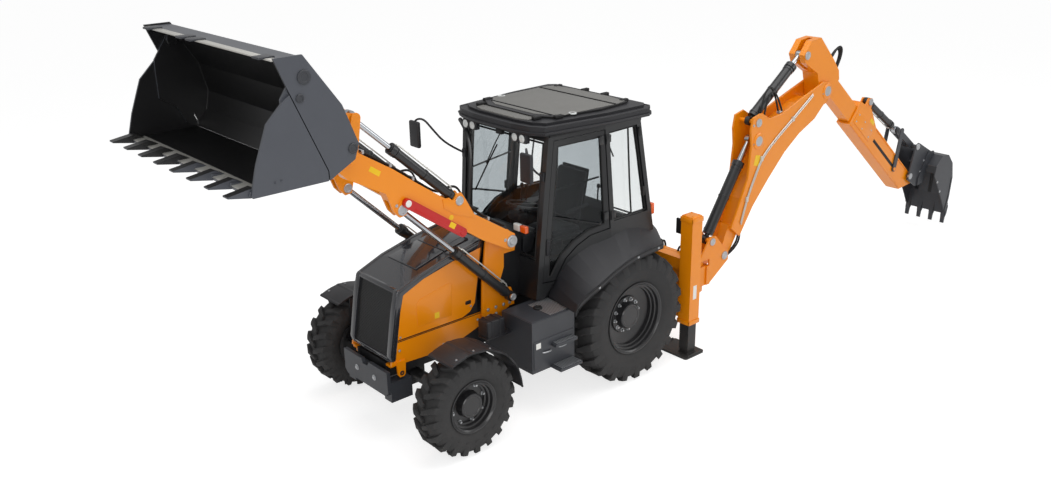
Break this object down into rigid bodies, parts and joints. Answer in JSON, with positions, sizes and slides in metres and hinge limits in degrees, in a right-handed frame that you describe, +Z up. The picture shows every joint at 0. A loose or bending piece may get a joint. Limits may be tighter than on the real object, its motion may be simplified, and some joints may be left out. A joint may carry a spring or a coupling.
{
  "type": "backhoe loader",
  "caption": "Orange backhoe loader, front bucket raised high, side-shift backhoe with telescopic dipper, closed cab.",
  "frame": {"origin": "ground level under the middle of the machine's overall length and width", "axes": "+X forward to the loader bucket, +Y to the machine's left, +Z up"},
  "size_m": [11.1552, 2.3, 3.944],
  "materials": {
    "orange_paint": "glossy",
    "dark_paint": "satin",
    "black_gloss": "glossy",
    "red_paint": "glossy",
    "chrome_rod": "polished",
    "cylinder_dark": "satin",
    "tyre": "matte",
    "glass": "tinted",
    "plastic": "matte",
    "fabric": "woven",
    "iron": "rough",
    "lamp": "glossy",
    "mirror_black": "glossy"
  },
  "bodies": {
    "machine": {"main_frame": "dark_paint", "engine_block": "iron", "front_bumper": "dark_paint", "loader_towers": "orange_paint", "cab_frame": "orange_paint", "cab_roof": "plastic", "cab_glass": "glass", "rear_fenders": "plastic", "side_boxes": "dark_paint", "front_axle": "dark_paint", "rear_axle": "dark_paint", "rear_frame": "orange_paint", "seat": "fabric", "controls": "plastic", "mirrors": "mirror_black", "lamps": "lamp"},
    "hood": {"hood_panels": "orange_paint", "hood_top": "black_gloss"},
    "door_left": {"door_left": "orange_paint", "door_left_glass": "glass"},
    "door_right": {"door_right": "orange_paint", "door_right_glass": "glass"},
    "knuckle_left": {"knuckle_left": "plastic"},
    "knuckle_right": {"knuckle_right": "plastic"},
    "front_wheel_left": {"front_rim_left": "black_gloss", "front_tyre_left": "tyre"},
    "front_wheel_right": {"front_rim_right": "black_gloss", "front_tyre_right": "tyre"},
    "rear_wheel_left": {"rear_rim_left": "black_gloss", "rear_tyre_left": "tyre"},
    "rear_wheel_right": {"rear_rim_right": "black_gloss", "rear_tyre_right": "tyre"},
    "arms": {"loader_arms": "orange_paint", "safety_strut": "red_paint"},
    "bucket": {"loader_bucket": "dark_paint"},
    "jaw": {"bucket_jaw": "dark_paint"},
    "lift_barrels": {"lift_barrels": "cylinder_dark"},
    "lift_rods": {"lift_rods": "chrome_rod"},
    "tilt_barrels": {"tilt_barrels": "cylinder_dark"},
    "tilt_rods": {"tilt_rods": "chrome_rod"},
    "tilt_levers": {"tilt_levers": "orange_paint"},
    "tilt_links": {"tilt_links": "orange_paint"},
    "carriage": {"carriage": "dark_paint"},
    "swing_post": {"swing_post": "orange_paint"},
    "boom": {"boom": "orange_paint"},
    "dipper": {"dipper": "orange_paint"},
    "dipper_slide": {"dipper_slide": "orange_paint"},
    "hoe_bucket": {"coupler": "dark_paint", "hoe_bucket": "dark_paint"},
    "guide_links": {"guide_links": "orange_paint"},
    "bucket_link": {"bucket_link": "dark_paint"},
    "boom_barrel": {"boom_barrel": "cylinder_dark"},
    "boom_rod": {"boom_rod": "chrome_rod"},
    "dipper_barrel": {"dipper_barrel": "cylinder_dark"},
    "dipper_rod": {"dipper_rod": "chrome_rod"},
    "bucket_barrel": {"bucket_barrel": "cylinder_dark"},
    "bucket_rod": {"bucket_rod": "chrome_rod"},
    "stabiliser_left": {"stabiliser_left": "dark_paint"},
    "stabiliser_right": {"stabiliser_right": "dark_paint"}
  },
  "joints": [
    {"name": "hood_tilt", "type": "hinge", "parent": "machine", "child": "hood", "pos_m": [3.7865, 0, 0.8], "axis": [0, 1, 0], "range_deg": [0, 55]},
    {"name": "door_left_swing", "type": "hinge", "parent": "machine", "child": "door_left", "pos_m": [1.3785, 0.802, 1.668], "axis": [-0.0159, -0.104, 0.9945], "range_deg": [0, 75]},
    {"name": "door_right_swing", "type": "hinge", "parent": "machine", "child": "door_right", "pos_m": [1.3785, -0.802, 1.668], "axis": [0.0159, -0.104, -0.9945], "range_deg": [0, 75]},
    {"name": "steer_left", "type": "hinge", "parent": "machine", "child": "knuckle_left", "pos_m": [3.4315, 0.735, 0.5], "axis": [0, 0, 1], "range_deg": [-30, 30]},
    {"name": "front_left_spin", "type": "hinge", "parent": "knuckle_left", "child": "front_wheel_left", "pos_m": [3.4315, 0.95, 0.5], "axis": [0, 1, 0], "continuous": true},
    {"name": "front_right_spin", "type": "hinge", "parent": "knuckle_right", "child": "front_wheel_right", "pos_m": [3.4315, -0.95, 0.5], "axis": [0, 1, 0], "continuous": true},
    {"name": "rear_left_spin", "type": "hinge", "parent": "machine", "child": "rear_wheel_left", "pos_m": [1.2565, 0.88, 0.709], "axis": [0, 1, 0], "continuous": true},
    {"name": "rear_right_spin", "type": "hinge", "parent": "machine", "child": "rear_wheel_right", "pos_m": [1.2565, -0.88, 0.709], "axis": [0, 1, 0], "continuous": true},
    {"name": "arms_lift", "type": "hinge", "parent": "machine", "child": "arms", "pos_m": [2.4465, 0, 1.72], "axis": [0, -1, 0], "range_deg": [-73.5, 10.5]},
    {"name": "bucket_tilt", "type": "hinge", "parent": "arms", "child": "bucket", "pos_m": [4.4765, 0, 3.09], "axis": [0, 1, 0], "range_deg": [-110, 55]},
    {"name": "jaw_open", "type": "hinge", "parent": "bucket", "child": "jaw", "pos_m": [4.9175, 0, 3.798], "axis": [0, -1, 0], "range_deg": [0, 55]},
    {"name": "side_shift", "type": "slide", "parent": "machine", "child": "carriage", "axis": [0, 1, 0], "range_m": [-1.17, 0]},
    {"name": "hoe_swing", "type": "hinge", "parent": "carriage", "child": "swing_post", "pos_m": [-0.2435, 0.585, 0.6], "axis": [0, 0, -1], "range_deg": [-90, 90]},
    {"name": "boom_lift", "type": "hinge", "parent": "swing_post", "child": "boom", "pos_m": [-0.6335, 0.585, 0.81], "axis": [0, 1, 0], "range_deg": [-90, 38]},
    {"name": "dipper_crowd", "type": "hinge", "parent": "boom", "child": "dipper", "pos_m": [-2.4435, 0.585, 2.485], "axis": [0, -1, 0], "range_deg": [-8, 72]},
    {"name": "dipper_extend", "type": "slide", "parent": "dipper", "child": "dipper_slide", "axis": [-0.766, 0, -0.6428], "range_m": [-0.65, 0.25]},
    {"name": "hoe_bucket_curl", "type": "hinge", "parent": "dipper_slide", "child": "hoe_bucket", "pos_m": [-4.66609, 0.585, 0.93332], "axis": [0, 1, 0], "range_deg": [-108, 12]},
    {"name": "stabiliser_left_raise", "type": "slide", "parent": "machine", "child": "stabiliser_left", "axis": [0, 0, 1], "range_m": [-0.15, 0.34]},
    {"name": "stabiliser_right_raise", "type": "slide", "parent": "machine", "child": "stabiliser_right", "axis": [0, 0, 1], "range_m": [-0.15, 0.34]},
    {"name": "steer_right", "type": "hinge", "parent": "machine", "child": "knuckle_right", "pos_m": [3.4315, -0.735, 0.5], "axis": [0, 0, 1], "range_deg": [-30.05, 30.05]},
    {"name": "lift_barrel_swing", "type": "hinge", "parent": "machine", "child": "lift_barrels", "pos_m": [2.4415, 0, 1.124], "axis": [0, -1, 0], "range_deg": [-64.73, 9.29]},
    {"name": "lift_rod_slide", "type": "slide", "parent": "lift_barrels", "child": "lift_rods", "axis": [0.721, 0, 0.6929], "range_m": [-0.7075, 0.1028]},
    {"name": "tilt_barrel_swing", "type": "hinge", "parent": "arms", "child": "tilt_barrels", "pos_m": [3.0665, 0, 2.275], "axis": [0, 1, 0], "range_deg": [-4.45, 2.25]},
    {"name": "tilt_rod_slide", "type": "slide", "parent": "tilt_barrels", "child": "tilt_rods", "axis": [0.7409, 0, 0.6716], "range_m": [-0.3284, 0.1652]},
    {"name": "lever_swing", "type": "hinge", "parent": "arms", "child": "tilt_levers", "pos_m": [4.1915, 0, 2.905], "axis": [0, 1, 0], "range_deg": [-64.4, 32.23]},
    {"name": "link_swing", "type": "hinge", "parent": "bucket", "child": "tilt_links", "pos_m": [4.5065, 0, 3.32], "axis": [0, 1, 0], "range_deg": [-53.12, 106.2]},
    {"name": "boom_barrel_swing", "type": "hinge", "parent": "swing_post", "child": "boom_barrel", "pos_m": [-0.4035, 0.585, 1.035], "axis": [0, 1, 0], "range_deg": [-83.75, 35.39]},
    {"name": "boom_rod_slide", "type": "slide", "parent": "boom_barrel", "child": "boom_rod", "axis": [-0.5601, 0, 0.8284], "range_m": [-0.1877, 0.4418]},
    {"name": "dipper_barrel_swing", "type": "hinge", "parent": "boom", "child": "dipper_barrel", "pos_m": [-1.1035, 0.585, 2.32], "axis": [0, -1, 0], "range_deg": [-1.25, 10.85]},
    {"name": "dipper_rod_slide", "type": "slide", "parent": "dipper_barrel", "child": "dipper_rod", "axis": [-0.8137, 0, 0.5812], "range_m": [-0.0844, 0.7434]},
    {"name": "guide_swing", "type": "hinge", "parent": "dipper_slide", "child": "guide_links", "pos_m": [-4.25955, 0.585, 1.1178], "axis": [0, 1, 0], "range_deg": [-77.81, 8.69]},
    {"name": "bucket_link_swing", "type": "hinge", "parent": "hoe_bucket", "child": "bucket_link", "pos_m": [-4.78922, 0.585, 1.3352], "axis": [0, 1, 0], "range_deg": [-9.41, 84.29]},
    {"name": "bucket_barrel_swing", "type": "hinge", "parent": "dipper_slide", "child": "bucket_barrel", "pos_m": [-3.59726, 0.585, 2.1487], "axis": [0, 1, 0], "range_deg": [-4.37, 0.53]},
    {"name": "bucket_rod_slide", "type": "slide", "parent": "bucket_barrel", "child": "bucket_rod", "axis": [-0.8317, 0, -0.5552], "range_m": [-0.0764, 0.6712]}
  ],
  "couplings": [
    {"joint": "steer_right", "follows": "steer_left", "ratio": 1},
    {"joint": "lift_barrel_swing", "follows": "arms_lift", "ratio": 0.88},
    {"joint": "lift_rod_slide", "follows": "arms_lift", "m_per_rad": 0.55},
    {"joint": "tilt_barrel_swing", "follows": "bucket_tilt", "ratio": 0.04},
    {"joint": "tilt_rod_slide", "follows": "bucket_tilt", "m_per_rad": 0.17},
    {"joint": "lever_swing", "follows": "bucket_tilt", "ratio": 0.585},
    {"joint": "link_swing", "follows": "bucket_tilt", "ratio": -0.965},
    {"joint": "boom_barrel_swing", "follows": "boom_lift", "ratio": 0.93},
    {"joint": "boom_rod_slide", "follows": "boom_lift", "m_per_rad": -0.28},
    {"joint": "dipper_barrel_swing", "follows": "dipper_crowd", "ratio": 0.15},
    {"joint": "dipper_rod_slide", "follows": "dipper_crowd", "m_per_rad": 0.59},
    {"joint": "guide_swing", "follows": "hoe_bucket_curl", "ratio": 0.72},
    {"joint": "bucket_link_swing", "follows": "hoe_bucket_curl", "ratio": -0.78},
    {"joint": "bucket_barrel_swing", "follows": "hoe_bucket_curl", "ratio": 0.04},
    {"joint": "bucket_rod_slide", "follows": "hoe_bucket_curl", "m_per_rad": -0.355}
  ]
}
